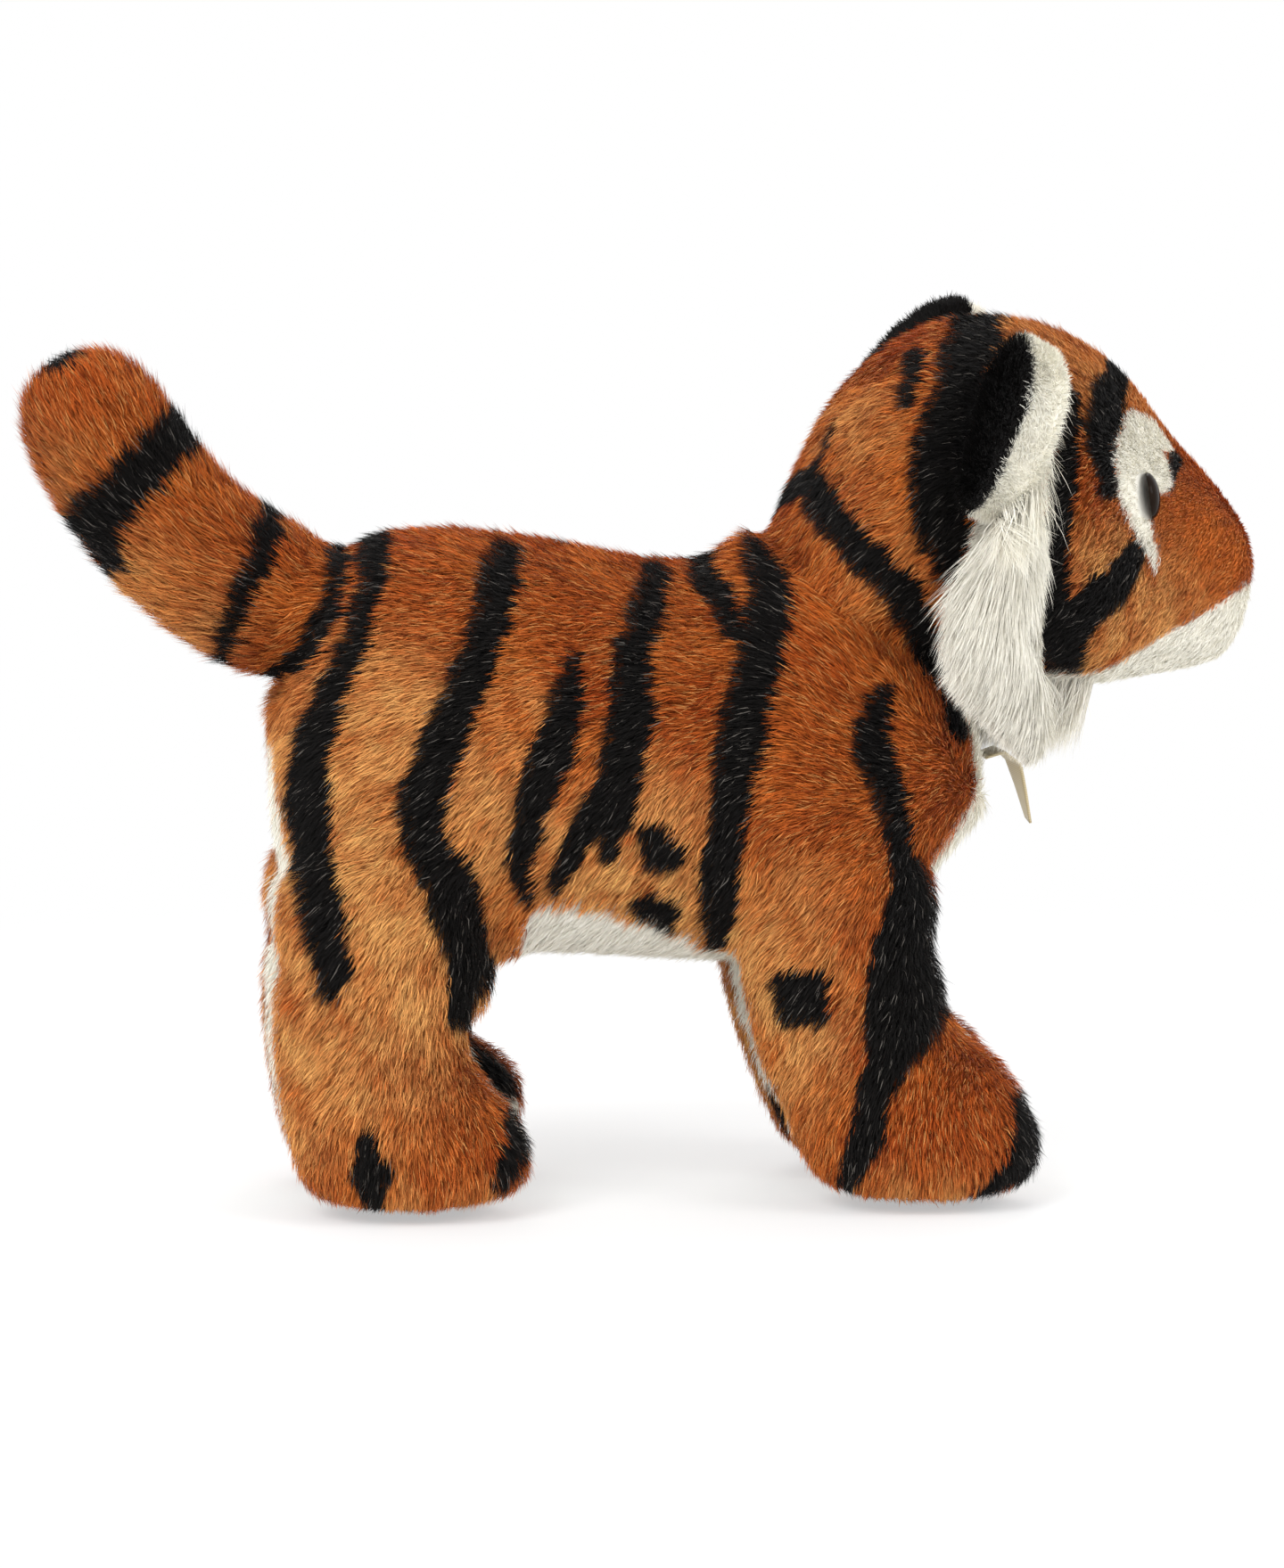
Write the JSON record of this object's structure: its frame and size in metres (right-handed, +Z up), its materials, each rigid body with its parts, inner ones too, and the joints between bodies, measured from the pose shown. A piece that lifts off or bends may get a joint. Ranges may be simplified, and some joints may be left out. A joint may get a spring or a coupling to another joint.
{
  "type": "plush tiger",
  "caption": "Stuffed tiger cub that stands on its legs, with seams that let the head turn, the tail lift, the legs swing and the ears fold.",
  "frame": {"origin": "on the ground under the middle of the toy", "axes": "+X towards the muzzle, +Y towards the toy's left side, +Z up"},
  "size_m": [0.3027, 0.1319, 0.2187],
  "materials": {
    "orange_pile": "short combed pile, orange with black stripes",
    "white_pile": "short combed pile, cream white",
    "black_pile": "short combed pile, black",
    "fibre": "loose polyester fibre",
    "eye_plastic": "polished",
    "nose_plastic": "satin",
    "washer_plastic": "plain moulded",
    "ribbon_cloth": "woven ribbon, cream"
  },
  "bodies": {
    "torso": {"torso_skin": "orange_pile", "belly_panel": "white_pile", "torso_stuffing": "fibre"},
    "head": {"head_skin": "orange_pile", "lip_panel": "white_pile", "head_stuffing": "fibre", "eye_left": "eye_plastic", "eye_left_washer": "washer_plastic", "eye_right": "eye_plastic", "eye_right_washer": "washer_plastic", "nose": "nose_plastic", "nose_washer": "washer_plastic", "cheek_ruff_left": "white_pile", "cheek_ruff_right": "white_pile"},
    "ear_left": {"ear_back_left": "black_pile", "ear_front_left": "white_pile"},
    "ear_right": {"ear_back_right": "black_pile", "ear_front_right": "white_pile"},
    "leg_hind_left": {"leg_skin_hind_left": "orange_pile", "leg_stuffing_hind_left": "fibre", "sole_hind_left": "white_pile"},
    "leg_hind_right": {"leg_skin_hind_right": "orange_pile", "leg_stuffing_hind_right": "fibre", "sole_hind_right": "white_pile"},
    "leg_front_left": {"leg_skin_front_left": "orange_pile", "leg_stuffing_front_left": "fibre", "sole_front_left": "white_pile"},
    "leg_front_right": {"leg_skin_front_right": "orange_pile", "leg_stuffing_front_right": "fibre", "sole_front_right": "white_pile"},
    "tail": {"tail_skin": "orange_pile", "tail_stuffing": "fibre"},
    "ribbon": {"chin_ribbon": "ribbon_cloth"}
  },
  "joints": [
    {"name": "head_turn", "type": "hinge", "parent": "torso", "child": "head", "pos_m": [0.0268, 0, 0.1035], "axis": [0.6561, 0, 0.7547], "range_deg": [-20, 20], "stiffness_Nm_per_rad": 1},
    {"name": "tail_lift", "type": "hinge", "parent": "torso", "child": "tail", "pos_m": [-0.0745, 0, 0.142], "axis": [0, 1, 0], "range_deg": [-20, 20], "stiffness_Nm_per_rad": 0.8},
    {"name": "leg_swing_hind_left", "type": "hinge", "parent": "torso", "child": "leg_hind_left", "pos_m": [-0.066, 0.0245, 0.072], "axis": [0, 1, 0], "range_deg": [-10, 10], "stiffness_Nm_per_rad": 3},
    {"name": "leg_swing_hind_right", "type": "hinge", "parent": "torso", "child": "leg_hind_right", "pos_m": [-0.066, -0.0245, 0.072], "axis": [0, 1, 0], "range_deg": [-10, 10], "stiffness_Nm_per_rad": 3},
    {"name": "leg_swing_front_left", "type": "hinge", "parent": "torso", "child": "leg_front_left", "pos_m": [0.044, 0.0245, 0.074], "axis": [0, 1, 0], "range_deg": [-10, 10], "stiffness_Nm_per_rad": 3},
    {"name": "leg_swing_front_right", "type": "hinge", "parent": "torso", "child": "leg_front_right", "pos_m": [0.044, -0.0245, 0.074], "axis": [0, 1, 0], "range_deg": [-10, 10], "stiffness_Nm_per_rad": 3},
    {"name": "ear_fold_left", "type": "hinge", "parent": "head", "child": "ear_left", "pos_m": [0.06638, 0.03494, 0.1896], "axis": [0.4286, -0.2938, 0.8544], "range_deg": [-20, 20], "stiffness_Nm_per_rad": 0.02},
    {"name": "ear_fold_right", "type": "hinge", "parent": "head", "child": "ear_right", "pos_m": [0.08029, -0.03661, 0.18961], "axis": [0.2873, 0.4326, 0.8546], "range_deg": [-20, 20], "stiffness_Nm_per_rad": 0.02},
    {"name": "ribbon_swing", "type": "hinge", "parent": "torso", "child": "ribbon", "pos_m": [0.08416, 0, 0.10751], "axis": [0, 1, 0], "range_deg": [-30, 8], "stiffness_Nm_per_rad": 0.0005}
  ]
}
